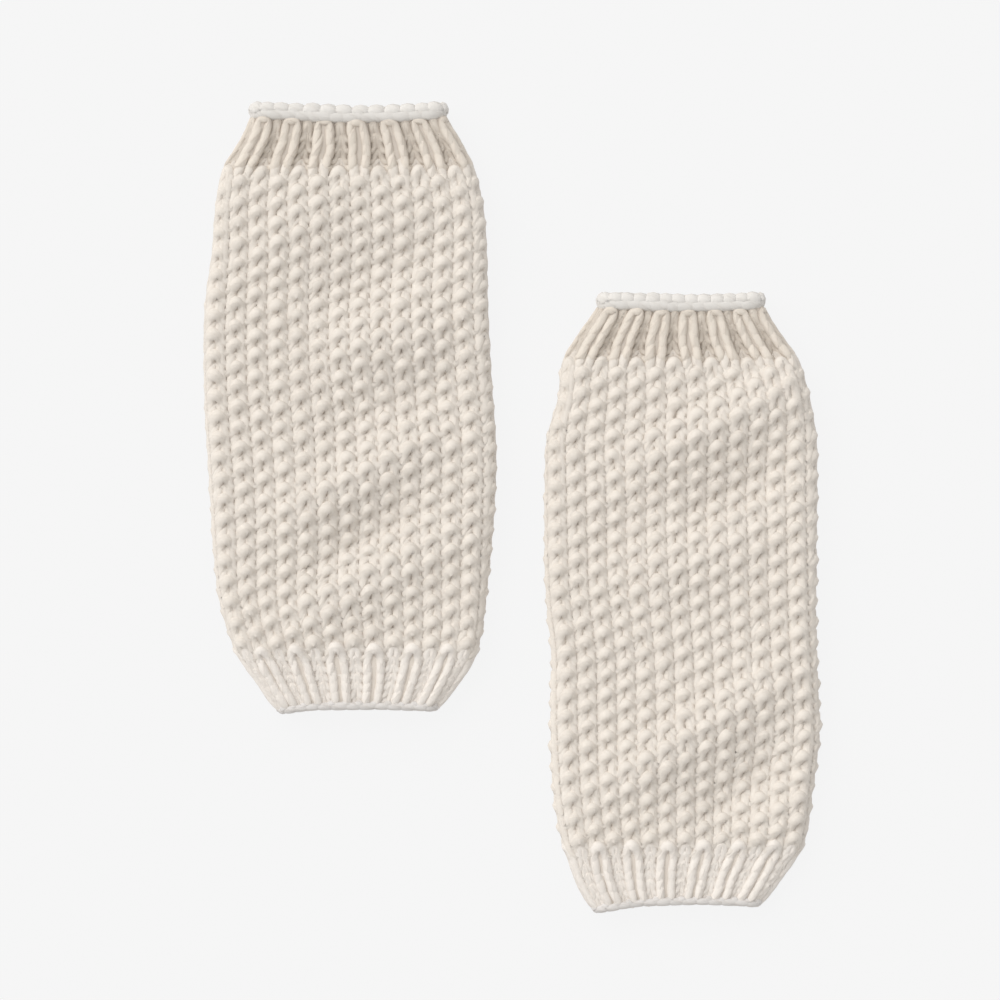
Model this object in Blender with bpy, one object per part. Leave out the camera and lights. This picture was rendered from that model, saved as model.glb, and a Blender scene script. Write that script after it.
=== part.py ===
"""A pair of chunky hand-knitted leg warmers for a baby, lying flat beside each other.

Each leg warmer is one tube, knitted in the round: a cast-on edge, a lower rib cuff, a moss-stitch
leg, an upper rib cuff and a cast-off edge. It lies flattened, so that its upper layer lies over its
lower layer, with a round fold down each side. Units are metres, +Z is up, and the ground is z = 0.
The tables and sizes below are in millimetres, as a knitter would note them.
"""

import math
from typing import NamedTuple

import bmesh
import bpy
import numpy as np

MM = 0.001

# The fabric
STITCHES_ROUND = 28
RIBS_ROUND = STITCHES_ROUND // 2
WALL = 6.0  # two thicknesses of 3.7 mm yarn, pressed together where the loops cross
SEAM_GAP = 0.3
EDGE_INSIDE = 0.7  # how much thinner the edges are than the wall, on the inner side
EDGE_ROUND = 1.4  # the bevel round the corners of the edges

# The ribs: shares are of one rib and its groove together
RIB_HEIGHT = 1.8
RIB_TOP_SHARE = 0.40
RIB_GROOVE_SHARE = 0.24
FIRST_RIB = 0.75  # the middle of the first rib, in ribs from the left fold

# How finely the walls are drawn
FOLD_STEPS = 6
UPPER_STEPS = 16
LOWER_STEPS = 6
LEG_ROWS = 24
CUFF_ROWS = 3

# How far the hollow of an end reaches into the leg warmer
END_REACH = 16.0


class Section(NamedTuple):
    """The outline at one distance down from the cast-off edge.

    left and right are the outer side folds, measured from the axis, and thick is the height of the
    two layers together. spread says how much wider the middle columns are than the mean, because
    those beside the side folds are crowded.
    """

    down: float
    left: float
    right: float
    thick: float
    spread: float


class Fold(NamedTuple):
    """A soft ridge across the upper layer, or a trough where height is below zero.

    across and down place its middle, and turn is its angle in degrees, anticlockwise from +X.
    """

    across: float
    down: float
    turn: float
    length: float
    breadth: float
    height: float


class End(NamedTuple):
    """The shape of an end: how far it is hollow at the middle, and how far its left side is lower."""

    hollow: float
    tilt: float


class LegWarmer(NamedTuple):
    """One leg warmer. x and y place the top of its axis, and the rest runs down from there."""

    name: str
    x: float
    y: float
    top_edge_end: float
    top_cuff_end: float
    leg_end: float
    bottom_cuff_end: float
    twist: float
    top: End
    bottom: End
    sections: list[Section]
    folds: list[Fold]


LEFT = LegWarmer(
    name="left",
    x=-57.38,
    y=143.25,
    top_edge_end=6.4,
    top_cuff_end=22.9,
    leg_end=195.8,
    bottom_cuff_end=212.6,
    twist=0.45,
    top=End(hollow=2.0, tilt=-0.6),
    bottom=End(hollow=1.6, tilt=0.6),
    sections=[
        Section(down=0.0, left=-36.9, right=36.6, thick=13.2, spread=0.13),
        Section(down=7.5, left=-37.3, right=36.9, thick=12.9, spread=0.13),
        Section(down=14.9, left=-40.7, right=41.5, thick=12.8, spread=0.11),
        Section(down=23.1, left=-45.8, right=45.4, thick=13.3, spread=0.1),
        Section(down=34.4, left=-48.4, right=48.3, thick=13.8, spread=0.1),
        Section(down=52.2, left=-49.9, right=50.1, thick=13.8, spread=0.05),
        Section(down=69.9, left=-52.2, right=50.4, thick=13.8, spread=0),
        Section(down=105.4, left=-52.5, right=52.2, thick=13.8, spread=0),
        Section(down=123.2, left=-51.5, right=53.3, thick=13.8, spread=0),
        Section(down=140.9, left=-50.4, right=52.9, thick=13.8, spread=0),
        Section(down=158.7, left=-49.3, right=51.5, thick=13.8, spread=0.03),
        Section(down=176.4, left=-47.2, right=49.7, thick=13.6, spread=0.1),
        Section(down=190.6, left=-43.0, right=47.9, thick=13.3, spread=0.12),
        Section(down=197.7, left=-40.1, right=45.8, thick=13.0, spread=0.13),
        Section(down=204.8, left=-34.8, right=41.2, thick=12.8, spread=0.17),
        Section(down=211.9, left=-29.8, right=35.9, thick=12.8, spread=0.2),
        Section(down=216.2, left=-26.0, right=32.0, thick=12.8, spread=0.2),
    ],
    folds=[
        Fold(across=-21.0, down=43.0, turn=35, length=36, breadth=9.0, height=0.8),
        Fold(across=0.0, down=65.0, turn=25, length=46, breadth=8.5, height=-0.9),
        Fold(across=16.0, down=83.0, turn=13, length=44, breadth=8.0, height=1.3),
        Fold(across=12.5, down=109.0, turn=18, length=46, breadth=7.5, height=-1.0),
        Fold(across=5.5, down=135.0, turn=28, length=58, breadth=7.5, height=1.4),
        Fold(across=5.5, down=154.5, turn=30, length=52, breadth=6.5, height=-1.3),
        Fold(across=7.0, down=173.0, turn=20, length=46, breadth=7.0, height=0.8),
    ],
)

RIGHT = LegWarmer(
    name="right",
    x=59.72,
    y=76.05,
    top_edge_end=6.6,
    top_cuff_end=23.0,
    leg_end=198.0,
    bottom_cuff_end=215.2,
    twist=0.70,
    top=End(hollow=1.2, tilt=-0.4),
    bottom=End(hollow=2.6, tilt=2.1),
    sections=[
        Section(down=0.0, left=-31.2, right=31.2, thick=13.2, spread=0.05),
        Section(down=7.1, left=-32.0, right=32.0, thick=12.9, spread=0.05),
        Section(down=15.3, left=-38.0, right=36.9, thick=12.8, spread=0.05),
        Section(down=23.1, left=-42.6, right=42.2, thick=13.3, spread=0.08),
        Section(down=38.3, left=-44.9, right=46.9, thick=13.8, spread=0.12),
        Section(down=52.5, left=-48.9, right=49.3, thick=13.8, spread=0.06),
        Section(down=66.7, left=-49.4, right=49.4, thick=13.8, spread=0.03),
        Section(down=109.3, left=-49.0, right=49.3, thick=13.8, spread=0.02),
        Section(down=130.6, left=-47.2, right=49.7, thick=13.8, spread=0),
        Section(down=144.8, left=-47.6, right=50.4, thick=13.8, spread=0),
        Section(down=159.0, left=-47.6, right=50.4, thick=13.8, spread=0),
        Section(down=173.2, left=-46.9, right=48.5, thick=13.8, spread=0),
        Section(down=187.4, left=-45.1, right=46.5, thick=13.5, spread=0.02),
        Section(down=198.1, left=-42.6, right=43.8, thick=13.0, spread=0.03),
        Section(down=205.2, left=-40.2, right=39.0, thick=12.8, spread=0.04),
        Section(down=212.3, left=-36.9, right=34.1, thick=12.8, spread=0.05),
        Section(down=218.7, left=-32.4, right=29.2, thick=12.8, spread=0.05),
    ],
    folds=[
        Fold(across=18.0, down=44.5, turn=27, length=54, breadth=8.0, height=1.4),
        Fold(across=21.0, down=69.0, turn=24, length=46, breadth=7.5, height=-1.1),
        Fold(across=7.0, down=95.0, turn=20, length=48, breadth=9.5, height=0.6),
        Fold(across=-20.0, down=84.0, turn=30, length=30, breadth=8.0, height=-0.6),
        Fold(across=7.0, down=161.0, turn=35, length=72, breadth=8.0, height=1.5),
        Fold(across=15.0, down=180.5, turn=38, length=42, breadth=6.5, height=-1.2),
        Fold(across=33.5, down=186.0, turn=45, length=26, breadth=6.0, height=0.7),
    ],
)

WOOL_CREAM = (0.74, 0.67, 0.59)
WOOL_PALE = (0.80, 0.76, 0.69)
WOOL_ROUGHNESS = 0.9


def smooth_through(places, values, where):
    """The values at where, on a smooth curve through the table's own values at its places."""
    places, values = np.asarray(places, float), np.asarray(values, float)
    slopes = np.gradient(values, places)
    where = np.clip(where, places[0], places[-1])
    i = np.clip(np.searchsorted(places, where, side="right") - 1, 0, len(places) - 2)
    span = places[i + 1] - places[i]
    t = (where - places[i]) / span
    start = (1 + 2 * t) * (1 - t) ** 2 * values[i] + t * (1 - t) ** 2 * span * slopes[i]
    end = t**2 * (3 - 2 * t) * values[i + 1] - t**2 * (1 - t) * span * slopes[i + 1]
    return start + end


def column(warmer, name, down):
    """One named column of the table of sections, read at the distances down."""
    places = [section.down for section in warmer.sections]
    return smooth_through(places, [getattr(section, name) for section in warmer.sections], down)


def layer_shape(warmer, down):
    """Radius of the side folds, and the width of the flat stretch between them, at mid wall."""
    radius = (column(warmer, "thick", down) - WALL) / 2
    width = column(warmer, "right", down) - column(warmer, "left", down) - WALL
    return radius, width - 2 * radius


def fold_height(warmer, across, down):
    """How far the soft ridges and troughs lift the upper layer at a place."""
    total = np.zeros_like(across)
    for fold in warmer.folds:
        turn = math.radians(fold.turn)
        dx, dy = across - fold.across, fold.down - down
        along = dx * math.cos(turn) + dy * math.sin(turn)
        aside = dy * math.cos(turn) - dx * math.sin(turn)
        shape = (aside / fold.breadth) ** 2 + (2 * along / fold.length) ** 4
        total += fold.height * np.exp(-shape)
    return total


def end_shift(warmer, across, down):
    """How far an end's hollow and tilt move a place down."""
    left, right = column(warmer, "left", down), column(warmer, "right", down)
    q = (2 * across - left - right) / (right - left)
    length = warmer.sections[-1].down
    near_top = np.exp(-down / END_REACH)
    near_bottom = np.exp(-(length - down) / END_REACH)
    hollow = warmer.top.hollow * near_top - warmer.bottom.hollow * near_bottom
    tilt = warmer.top.tilt * near_top + warmer.bottom.tilt * near_bottom
    return hollow * (1 - q**2) - tilt * q / 2


def wall_points(warmer, turn, down, out):
    """Points of the wall, in millimetres, that lie out outside its middle.

    turn is 0 at the left fold and 0.5 at the right fold: the first half runs over the upper layer
    and the second half back under it. The wall's thickness is measured square to the axis.
    """
    radius, flat = layer_shape(warmer, down)
    quarter = math.pi / 2 * radius
    upper = turn < 0.5
    reach = np.where(upper, turn, 1 - turn) * 2 * (flat + 2 * quarter)
    rising = np.clip(reach / radius, 0, math.pi / 2)
    falling = np.clip((reach - quarter - flat) / radius, 0, math.pi / 2)
    outward = np.sin(falling) - np.cos(rising)
    upward = np.sin(rising) * np.cos(falling)
    across = (
        column(warmer, "left", down)
        + WALL / 2
        + radius * (1 + outward)
        + np.clip(reach - quarter, 0, flat)
    )
    height = WALL / 2 + radius + (radius + out) * np.where(upper, upward, -upward)
    height += np.where(upper, upward**2, 0) * fold_height(warmer, across, down)
    across += out * outward
    y = -down - end_shift(warmer, across, down)
    return np.stack([warmer.x + across, warmer.y + y, height], axis=-1)


def plain_turns(warmer, down):
    """Turns of a plain ring: close together round the side folds, wider apart on the flat."""
    radius, flat = layer_shape(warmer, down)
    half = flat + math.pi * radius
    quarter = math.pi / 2 * radius / half / 2
    bends = np.linspace(0, quarter, FOLD_STEPS // 2, endpoint=False)
    upper = np.linspace(quarter, 0.5 - quarter, UPPER_STEPS, endpoint=False)
    lower = np.linspace(0.5 + quarter, 1 - quarter, LOWER_STEPS, endpoint=False)
    right = np.linspace(0.5 - quarter, 0.5 + quarter, FOLD_STEPS, endpoint=False)
    return np.concatenate([bends, upper, right, lower, 1 - quarter + bends])


def column_turns(warmer, stitches, down):
    """The turns at which columns lie, which are numbered in stitches from the left fold.

    The columns drift a little to the right on their way down, and spread out in the middle.
    """
    turn = (stitches + warmer.twist * down / warmer.sections[-1].down) / STITCHES_ROUND % 1
    from_middle = np.where(turn < 0.5, 4 * turn - 1, 3 - 4 * turn)
    moved = column(warmer, "spread", down) * (from_middle - from_middle**3) / 4
    return turn + np.where(turn < 0.5, moved, -moved)


def rib_turns(warmer, down):
    """Turns of a ribbed ring: four to a rib, at the two shoulders and the two feet of its sides."""
    shoulder, foot = RIB_TOP_SHARE / 2, (1 - RIB_GROOVE_SHARE) / 2
    ribs = FIRST_RIB + np.arange(RIBS_ROUND)[:, None] + np.array([-foot, -shoulder, shoulder, foot])
    return column_turns(warmer, ribs.reshape(-1) * STITCHES_ROUND / RIBS_ROUND, down)


def plain_out(turn):
    """How far out the outer face of a plain wall lies."""
    return np.full(len(turn), WALL / 2)


def ribbed_out(turn):
    """How far out the outer face of a ribbed wall lies: raised ribs, but flat on the ground."""
    outer = np.full(len(turn), WALL / 2)
    is_groove = np.tile([True, False, False, True], RIBS_ROUND)
    lies_below = turn > 0.5
    outer[is_groove & ~lies_below] -= RIB_HEIGHT
    return outer


def mesh_object(name, points, faces, colour):
    """A named object with one closed mesh and a material of its own, from points in millimetres."""
    mesh = bpy.data.meshes.new(name)
    mesh.from_pydata((np.asarray(points) * MM).tolist(), [], faces)
    shaped = bmesh.new()
    shaped.from_mesh(mesh)
    bmesh.ops.recalc_face_normals(shaped, faces=shaped.faces)
    shaped.to_mesh(mesh)
    shaped.free()
    mesh.shade_smooth()
    mesh.set_sharp_from_angle(angle=math.radians(40))
    material = bpy.data.materials.new(name)
    material.use_nodes = True
    shader = material.node_tree.nodes["Principled BSDF"]
    shader.inputs["Base Color"].default_value = (*colour, 1)
    shader.inputs["Roughness"].default_value = WOOL_ROUGHNESS
    shader.inputs["Metallic"].default_value = 0
    mesh.materials.append(material)
    piece = bpy.data.objects.new(name, mesh)
    bpy.context.scene.collection.objects.link(piece)
    return piece


def skin(rings):
    """Points and quads of a closed skin over rings that run round the tube and back to the first."""
    count, size = len(rings), len(rings[0])
    faces = []
    for i in range(count):
        for j in range(size):
            k, after = (i + 1) % count, (j + 1) % size
            faces.append((i * size + j, i * size + after, k * size + after, k * size + j))
    return np.concatenate(rings), faces


def wall_piece(warmer, name, start, end, rows, turns_of, outer_of):
    """A stretch of the tube: its outer face from start to end, then its inner face back again."""
    outer, inner = [], []
    for down in np.linspace(start, end, rows + 1):
        turn = turns_of(warmer, down)
        level = np.full(len(turn), down)
        outer.append(wall_points(warmer, turn, level, outer_of(turn)))
        inner.append(wall_points(warmer, turn, level, np.full(len(turn), -WALL / 2)))
    points, faces = skin(outer + inner[::-1])
    return mesh_object(f"{warmer.name}_{name}", points, faces, WOOL_CREAM)


def edge_piece(warmer, name, start, end):
    """The rolled edge round a mouth at start: a bevelled bar that runs once round the tube."""
    out, inside = WALL / 2, -WALL / 2 + EDGE_INSIDE
    bevel_end = start + math.copysign(EDGE_ROUND, end - start)
    corners = [
        (bevel_end, out),
        (end, out),
        (end, inside),
        (bevel_end, inside),
        (start, inside + EDGE_ROUND),
        (start, out - EDGE_ROUND),
    ]
    rings = []
    for down, level in corners:
        turn = rib_turns(warmer, down)
        rings.append(wall_points(warmer, turn, np.full(len(turn), down), np.full(len(turn), level)))
    points, faces = skin(rings)
    return mesh_object(f"{warmer.name}_{name}", points, faces, WOOL_PALE)


def build_leg_warmer(warmer):
    """The five knitted stretches of one leg warmer, from its cast-off edge to its cast-on edge."""
    ends = [warmer.top_edge_end, warmer.top_cuff_end, warmer.leg_end, warmer.bottom_cuff_end]
    starts = [end + SEAM_GAP for end in ends]
    edge_piece(warmer, "cast_off_edge", 0.0, ends[0])
    wall_piece(warmer, "upper_rib_cuff", starts[0], ends[1], CUFF_ROWS, rib_turns, ribbed_out)
    wall_piece(warmer, "moss_stitch_leg", starts[1], ends[2], LEG_ROWS, plain_turns, plain_out)
    wall_piece(warmer, "lower_rib_cuff", starts[2], ends[3], CUFF_ROWS, rib_turns, ribbed_out)
    edge_piece(warmer, "cast_on_edge", warmer.sections[-1].down, starts[3])


for old in list(bpy.data.objects):
    bpy.data.objects.remove(old, do_unlink=True)

for leg_warmer in (LEFT, RIGHT):
    build_leg_warmer(leg_warmer)
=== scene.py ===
"""The looks of a pair of hand-knitted leg warmers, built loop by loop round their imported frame.

Each leg warmer is a flattened tube of chunky cream wool: a cast-off chain, a rib cuff, a leg in moss
stitch, a second rib cuff and a cast-on edge. Every course of the knitting is one ring of yarn that
runs through the loops of the course below it. The sizes and tables are in millimetres, as a knitter
would note them, and the meshes are in metres. The ground is z = 0 and +Y runs up the picture.
Distances down and courses are counted from the cast-off edge, and stitches from the left fold.
"""

import enum
import logging
import math
from dataclasses import dataclass, field

import bpy
import numpy as np
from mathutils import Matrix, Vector

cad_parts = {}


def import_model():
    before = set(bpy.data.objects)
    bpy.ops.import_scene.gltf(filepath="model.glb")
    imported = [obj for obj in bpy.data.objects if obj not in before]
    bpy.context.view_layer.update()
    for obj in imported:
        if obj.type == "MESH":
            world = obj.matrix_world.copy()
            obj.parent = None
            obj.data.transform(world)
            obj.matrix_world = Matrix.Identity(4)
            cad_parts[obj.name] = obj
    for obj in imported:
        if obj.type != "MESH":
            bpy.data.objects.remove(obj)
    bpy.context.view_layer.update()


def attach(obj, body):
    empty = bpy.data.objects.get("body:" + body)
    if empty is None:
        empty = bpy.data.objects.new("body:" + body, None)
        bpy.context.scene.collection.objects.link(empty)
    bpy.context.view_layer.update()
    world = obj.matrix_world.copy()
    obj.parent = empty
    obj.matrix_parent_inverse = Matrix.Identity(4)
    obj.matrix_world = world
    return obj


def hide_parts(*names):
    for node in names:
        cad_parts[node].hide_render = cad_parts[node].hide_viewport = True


Array = np.ndarray
Piece = bpy.types.Object
Socket = bpy.types.NodeSocket

LOG = logging.getLogger("leg_warmers")
BODY = "root"
YARN_MAP = "yarn"
# The point attribute that holds how much painted shade the wool gets where it lies deep
PAINTED_SHADE_MAP = "deep"
MM = 0.001
TURN = 2 * math.pi

STITCHES_ROUND = 28
# The thickness of one layer
WALL = 6.0
# Over what distance the shape of an end fades
END_REACH = 16.0
# How many times its noted height a ridge rises, and a trough sinks
RIDGE_LIFT = 2.2
TROUGH_LIFT = 1.8
# The lift from which loops have the shape that they take on a crest
FULL_CREST = 2.2
# The step out that tells which way the wall faces
OUTWARD_STEP = 0.5

# Where a loop crosses its neighbours, as shares of its way from one sinker to the next
FOOT = 0.075
NECK = 0.20
SHOULDER = 0.285
CROWN = 0.40
# How many points lie on the way of one loop
LOOP_STEPS = 16
# How deep a purl stitch lies in a rib, as a share of a knit one
RIB_PURL = 0.4
# The middle of a knit column of the rib, in stitches
KNIT_MIDDLE = 1.5
# Over how many courses rib and moss stitch blend into each other
PATTERN_BLEND = 0.8
# The thin layer above the ground into which low wool is pressed
PRESSED = 0.6
# Wool nearer mid wall than this starts to get painted shade, and gets it in full this much further in
PAINTED_SHADE_START = 1.6
PAINTED_SHADE_SPAN = 2.4

# The power that rounds a ply, and how fast the fibres change along the yarn
PLY_ROUNDNESS = 0.6
FIBRE_STRETCH = 0.9
# How much plies and fibres lift a place out of the painted ply shade, and where that starts
PLY_GLOW = 0.6
FIBRE_GLOW = 1.6
BASE_GLOW = -0.45


@dataclass(frozen=True)
class Section:
    """The outline at one distance down: its sides, its height and how its columns spread."""

    down: float
    left: float
    right: float
    thick: float
    spread: float


@dataclass(frozen=True)
class Fold:
    """A soft ridge across the upper layer, or a trough where height is below zero."""

    across: float
    down: float
    turn: float
    length: float
    breadth: float
    height: float


@dataclass(frozen=True)
class End:
    """The shape of an end: how far it is hollow at the middle, and how far its left side is lower."""

    hollow: float
    tilt: float


class Pattern(enum.Enum):
    """How knit and purl stitches follow each other."""

    RIB = "one by one rib"
    MOSS = "moss stitch"

    def signs(self, stitch: Array, course: Array) -> Array:
        """Tell knit stitches from purl ones.

        Args:
            stitch: the stitches' numbers.
            course: the courses' numbers.

        Returns:
            1 for each knit stitch and -1 for each purl one.
        """
        count = stitch + (course if self is Pattern.MOSS else 0)
        return np.where(count % 2 == 1, 1.0, -1.0)


def smooth_through(places: list[float], values: list[float], where: Array) -> Array:
    """Read a smooth curve through a table's values.

    Args:
        places: where the table's values lie, in rising order.
        values: the table's values.
        where: the places to read.

    Returns:
        The values at where, with the table's own end values beyond its ends.
    """
    spots, heights = np.asarray(places, float), np.asarray(values, float)
    slopes = np.gradient(heights, spots)
    where = np.clip(where, spots[0], spots[-1])
    i = np.clip(np.searchsorted(spots, where, side="right") - 1, 0, len(spots) - 2)
    span = spots[i + 1] - spots[i]
    t = (where - spots[i]) / span
    start = (1 + 2 * t) * (1 - t) ** 2 * heights[i] + t * (1 - t) ** 2 * span * slopes[i]
    end = t**2 * (3 - 2 * t) * heights[i + 1] - t**2 * (1 - t) * span * slopes[i + 1]
    return start + end


@dataclass
class Strand:
    """Where closed rings of yarn run, as arrays of rings by steps.

    It holds the middle of the yarn in millimetres, the wall's outward direction there, the yarn's
    thickness as a share of its own, and how far out from the middle of the wall it lies.
    """

    centres: Array
    outward: Array
    girth: Array
    out: Array


@dataclass
class TubeForm:
    """The form of one leg warmer as it lies: a flattened tube with soft folds in its upper layer.

    A place on it is a turn, a distance down and a distance out from the middle of the wall. The turn
    is 0 at the left fold and 0.5 at the right fold, and runs over the upper layer first.
    """

    x: float
    y: float
    twist: float
    top: End
    bottom: End
    sections: list[Section]
    folds: list[Fold]

    @property
    def length(self) -> float:
        """Length of the tube."""
        return self.sections[-1].down

    def column(self, name: str, down: Array) -> Array:
        """Read one named column of the table of sections.

        Args:
            name: the column's name.
            down: distances down.

        Returns:
            The column's values at those distances.
        """
        places = [section.down for section in self.sections]
        return smooth_through(places, [getattr(section, name) for section in self.sections], down)

    def layer_shape(self, down: Array) -> tuple[Array, Array]:
        """Measure the section at mid wall.

        Args:
            down: distances down.

        Returns:
            The radius of the side folds, and the width of the flat stretch between them.
        """
        radius = (self.column("thick", down) - WALL) / 2
        width = self.column("right", down) - self.column("left", down) - WALL
        return radius, width - 2 * radius

    def fold_height(self, across: Array, down: Array) -> Array:
        """Add up what the soft ridges and troughs lift the upper layer.

        Args:
            across: distances right of the axis.
            down: distances down.

        Returns:
            The lift at each place, below zero in a trough.
        """
        total = np.zeros_like(across)
        for fold in self.folds:
            turn = math.radians(fold.turn)
            dx, dy = across - fold.across, fold.down - down
            along = dx * math.cos(turn) + dy * math.sin(turn)
            aside = dy * math.cos(turn) - dx * math.sin(turn)
            shape = (aside / fold.breadth) ** 2 + (2 * along / fold.length) ** 4
            lift = RIDGE_LIFT if fold.height > 0 else TROUGH_LIFT
            total += lift * fold.height * np.exp(-shape)
        return total

    def end_shift(self, across: Array, down: Array) -> Array:
        """Work out how far an end's hollow and tilt move a place down.

        Args:
            across: distances right of the axis.
            down: distances down.

        Returns:
            The shift at each place.
        """
        left, right = self.column("left", down), self.column("right", down)
        q = (2 * across - left - right) / (right - left)
        near_top = np.exp(-down / END_REACH)
        near_bottom = np.exp(-(self.length - down) / END_REACH)
        hollow = self.top.hollow * near_top - self.bottom.hollow * near_bottom
        tilt = self.top.tilt * near_top + self.bottom.tilt * near_bottom
        return hollow * (1 - q**2) - tilt * q / 2

    def bend(self, turn: Array, down: Array) -> tuple[Array, Array, Array]:
        """Follow the middle of the wall round the tube.

        Args:
            turn: turns round the tube.
            down: distances down.

        Returns:
            The distances right of the axis, and how far outward and upward the wall faces there.
        """
        radius, flat = self.layer_shape(down)
        quarter = math.pi / 2 * radius
        upper = turn < 0.5
        reach = np.where(upper, turn, 1 - turn) * 2 * (flat + 2 * quarter)
        rising = np.clip(reach / radius, 0, math.pi / 2)
        falling = np.clip((reach - quarter - flat) / radius, 0, math.pi / 2)
        outward = np.sin(falling) - np.cos(rising)
        upward = np.sin(rising) * np.cos(falling)
        across = self.column("left", down) + WALL / 2
        across = across + radius * (1 + outward) + np.clip(reach - quarter, 0, flat)
        return across, outward, np.where(upper, upward, -upward)

    def points(self, turn: Array, down: Array, out: Array) -> Array:
        """Place points of the wall.

        Args:
            turn: turns round the tube.
            down: distances down.
            out: distances out from the middle of the wall.

        Returns:
            The points in millimetres, with one more axis than turn.
        """
        radius = self.layer_shape(down)[0]
        across, outward, upward = self.bend(turn, down)
        height = WALL / 2 + radius + (radius + out) * upward
        height += np.maximum(upward, 0) ** 2 * self.fold_height(across, down)
        across = across + out * outward
        y = -down - self.end_shift(across, down)
        return np.stack([self.x + across, self.y + y, height], axis=-1)

    def crest(self, turn: Array, down: Array) -> Array:
        """Tell how near a place is to the crest of a ridge.

        Args:
            turn: turns round the tube.
            down: distances down.

        Returns:
            From 0, on the flat or in a trough, to 1, on a crest of the upper layer.
        """
        across, _, upward = self.bend(turn, down)
        return np.maximum(upward, 0) * np.clip(self.fold_height(across, down) / FULL_CREST, 0, 1)

    def column_turns(self, stitches: Array, down: Array) -> Array:
        """Find the turns at which columns lie: they drift right on their way down and spread out.

        Args:
            stitches: places in stitches.
            down: distances down.

        Returns:
            The turn at each place.
        """
        turn = (stitches + self.twist * down / self.length) / STITCHES_ROUND % 1
        from_middle = np.where(turn < 0.5, 4 * turn - 1, 3 - 4 * turn)
        moved = self.column("spread", down) * (from_middle - from_middle**3) / 4
        return turn + np.where(turn < 0.5, moved, -moved)

    def lay(self, turn: Array, down: Array, out: Array, girth: Array) -> Strand:
        """Lay rings of yarn on the wall, as arrays of rings by steps.

        Args:
            turn: turns round the tube.
            down: distances down.
            out: distances out from the middle of the wall.
            girth: the yarn's thickness, as a share of its own.

        Returns:
            Where the rings of yarn run.
        """
        centres = self.points(turn, down, out)
        further = self.points(turn, down, out + OUTWARD_STEP)
        return Strand(centres, further - centres, girth, out)


@dataclass(frozen=True)
class Yarn:
    """A plied yarn: its thickness, the roundness of its section and one twist's length.

    softening is how many times the skin is eased along the yarn, which rounds its tight bends.
    """

    thick: float = 4.0
    flatness: float = 0.96
    twist_length: float = 9.0
    sides: int = 8
    softening: int = 2

    def ring_mesh(self, name: str, laid: Strand) -> bpy.types.Mesh:
        """Build the skin of closed rings of yarn.

        Args:
            name: the mesh's name.
            laid: where each ring runs.

        Returns:
            The mesh in metres, with the way along and round the yarn in its UV map.
        """
        centres, outward, girth, out = laid.centres, laid.outward, laid.girth, laid.out
        rings, steps = centres.shape[:2]
        along = np.roll(centres, -1, axis=1) - np.roll(centres, 1, axis=1)
        along /= np.linalg.norm(along, axis=-1, keepdims=True)
        aside = np.cross(along, outward)
        aside /= np.linalg.norm(aside, axis=-1, keepdims=True)
        raised = np.cross(aside, along)
        angle = TURN * np.arange(self.sides) / self.sides
        radius = self.thick / 2 * girth[..., None, None]
        points = centres[:, :, None] + radius * (
            np.cos(angle)[:, None] * aside[:, :, None]
            + self.flatness * np.sin(angle)[:, None] * raised[:, :, None]
        )
        for _ in range(self.softening):
            points = points / 2 + (np.roll(points, -1, axis=1) + np.roll(points, 1, axis=1)) / 4
        points[..., 2] = settle(points[..., 2])
        # Painted shade: wool deep in the wall, and the inner side of each yarn, is darkened in its
        # colour
        deep = np.clip((PAINTED_SHADE_START - out[..., None] - radius[..., 0] * np.sin(angle)) / PAINTED_SHADE_SPAN, 0, 1)

        corner = np.arange(rings * steps * self.sides).reshape(rings, steps, self.sides)
        onward, beside = np.roll(corner, -1, axis=1), np.roll(corner, -1, axis=2)
        faces = np.stack([corner, beside, np.roll(onward, -1, axis=2), onward], axis=-1)

        stretch = np.linalg.norm(np.roll(centres, -1, axis=1) - centres, axis=-1)
        way = np.concatenate([np.zeros((rings, 1)), np.cumsum(stretch, axis=1)], axis=1)
        twists = np.round(way[:, -1:] / self.twist_length)
        way = way / way[:, -1:] * twists
        low = np.arange(self.sides) / self.sides
        parts = (way[:, :-1, None], way[:, 1:, None], low, low + 1 / self.sides)
        begin, finish, low, high = (np.broadcast_to(part, corner.shape) for part in parts)
        uv = np.stack([begin, low, begin, high, finish, high, finish, low], axis=-1)
        return skin_mesh(name, points, faces, uv, deep)


def settle(height: Array) -> Array:
    """Press what would reach into the ground flat above it.

    Args:
        height: heights in millimetres.

    Returns:
        The same heights, but eased to a thin layer above zero where they are low.
    """
    pressed = PRESSED * np.exp((np.minimum(height, PRESSED) - PRESSED) / PRESSED)
    return np.where(height < PRESSED, pressed, height)


def skin_mesh(name: str, points: Array, quads: Array, uv: Array, deep: Array) -> bpy.types.Mesh:
    """Build a smooth mesh of quads from arrays whose last axes hold points, faces and places.

    Args:
        name: the mesh's name.
        points: its points in millimetres.
        quads: four point numbers for each face.
        uv: a place in the yarn map for each corner of each face.
        deep: how much painted shade each point gets, from 0, and past 1 in a dark groove.

    Returns:
        The mesh.
    """
    mesh = bpy.data.meshes.new(name)
    mesh.vertices.add(points.size // 3)
    mesh.vertices.foreach_set("co", (points * MM).astype(np.float32).ravel())
    mesh.loops.add(quads.size)
    mesh.loops.foreach_set("vertex_index", quads.astype(np.int32).ravel())
    mesh.polygons.add(quads.size // 4)
    mesh.polygons.foreach_set("loop_start", np.arange(0, quads.size, 4, dtype=np.int32))
    mesh.update(calc_edges=True)
    layer = mesh.uv_layers.new(name=YARN_MAP)
    layer.uv.foreach_set("vector", uv.astype(np.float32).ravel())
    # Store the painted shade as a point attribute
    depth = mesh.attributes.new(PAINTED_SHADE_MAP, "FLOAT", "POINT")
    depth.data.foreach_set("value", deep.astype(np.float32).ravel())
    mesh.shade_smooth()
    return mesh


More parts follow.
